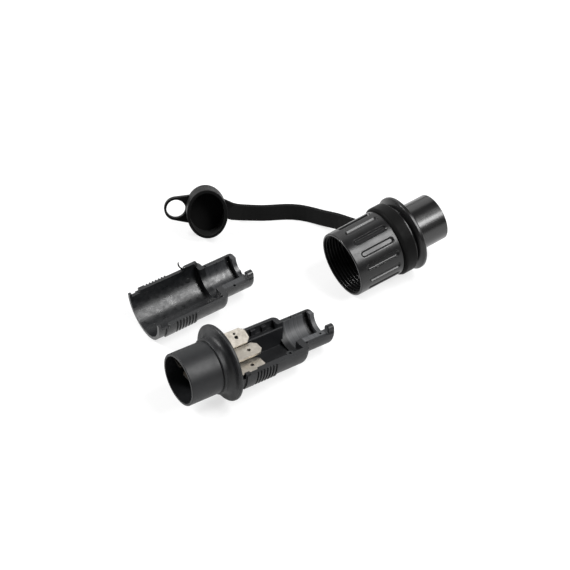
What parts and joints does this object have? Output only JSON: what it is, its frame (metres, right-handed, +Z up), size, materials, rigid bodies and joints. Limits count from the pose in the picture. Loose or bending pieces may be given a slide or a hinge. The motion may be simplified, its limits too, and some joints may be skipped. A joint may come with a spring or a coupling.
{
  "type": "three-pin tractor plug",
  "caption": "Low-voltage vehicle plug taken apart: nose body with flat contacts, loose half cover, grooved screw sleeve and a rubber dust cap on a strap.",
  "frame": {"origin": "middle of the laid-out pieces, on the surface they lie on", "axes": "+X to the right and +Y away from the viewer of the layout, +Z up"},
  "size_m": [0.1764, 0.1588, 0.0438],
  "materials": {
    "housing_nylon": "satin moulded glass-filled nylon, charcoal black",
    "sleeve_nylon": "satin moulded nylon, black, with a glossier rear tube",
    "cap_rubber": "matt black moulded rubber",
    "contact_tin": "tin-plated stamped brass, satin warm light grey"
  },
  "bodies": {
    "root": {"plug_body": "housing_nylon", "housing_cover": "housing_nylon", "coupling_sleeve": "sleeve_nylon", "dust_cap": "cap_rubber", "contact_left": "contact_tin", "contact_centre": "contact_tin", "contact_right": "contact_tin"}
  },
  "joints": []
}
